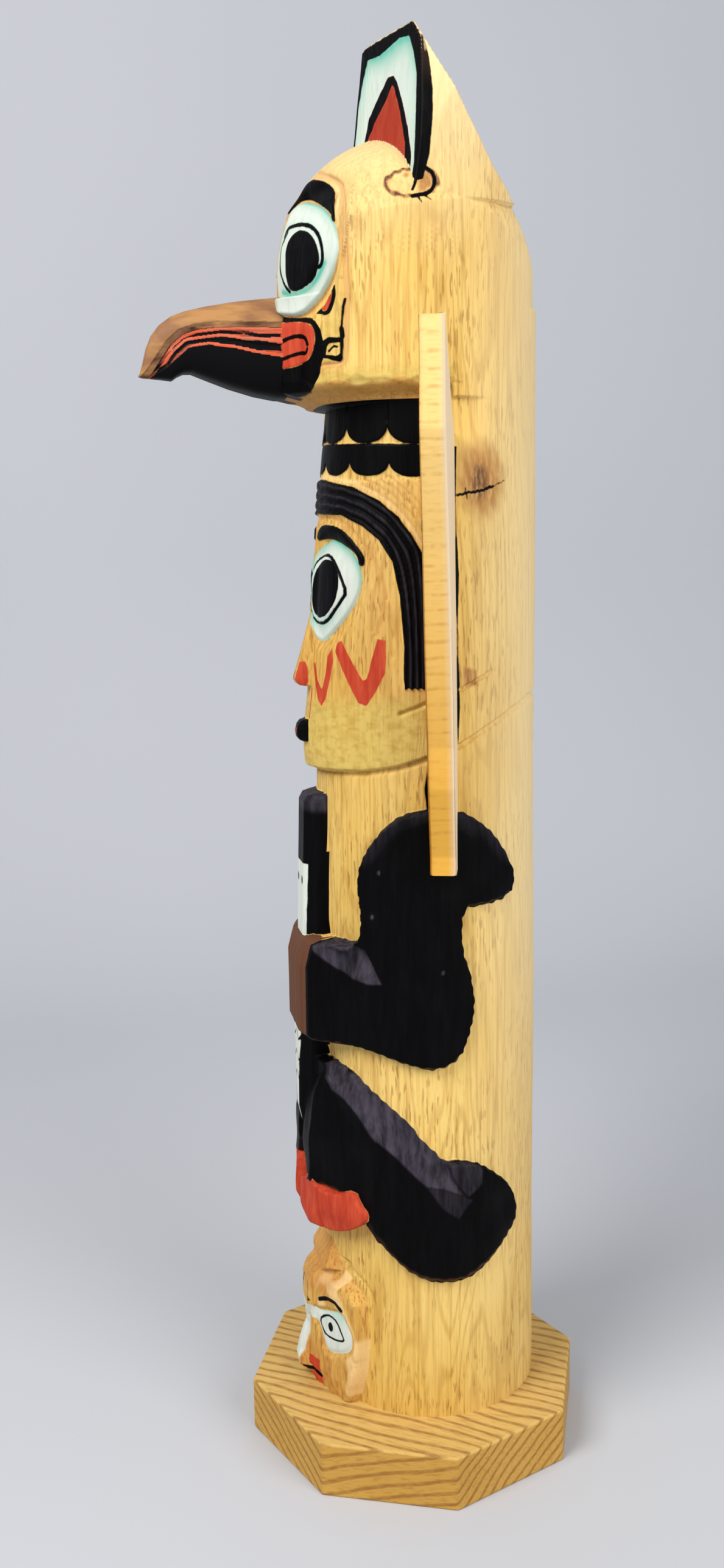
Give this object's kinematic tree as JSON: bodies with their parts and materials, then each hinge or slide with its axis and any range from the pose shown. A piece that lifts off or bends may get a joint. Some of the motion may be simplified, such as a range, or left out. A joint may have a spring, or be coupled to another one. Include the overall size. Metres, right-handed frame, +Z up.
{
  "type": "carved totem pole",
  "caption": "Carved wooden totem pole with a hooked-beak bird head, spread wing boards, crouching figures below and an octagonal base board.",
  "frame": {"origin": "centre of the octagonal base board's underside", "axes": "+Z up along the pole, the carved front and the beak toward -Y, the wings toward +X and -X"},
  "size_m": [0.1782, 0.146, 0.468],
  "materials": {
    "fir_board": "bare coarse-grained softwood with brown growth rings",
    "painted_cedar": "yellow cedar, carved and partly painted in black, red, aqua and white",
    "painted_beak": "carved wood painted brown, red and black",
    "cedar_board": "pale cedar board, painted on its front face"
  },
  "bodies": {
    "root": {"base": "fir_board", "pole": "painted_cedar", "beak": "painted_beak", "wing_left": "cedar_board", "wing_right": "cedar_board"}
  },
  "joints": []
}
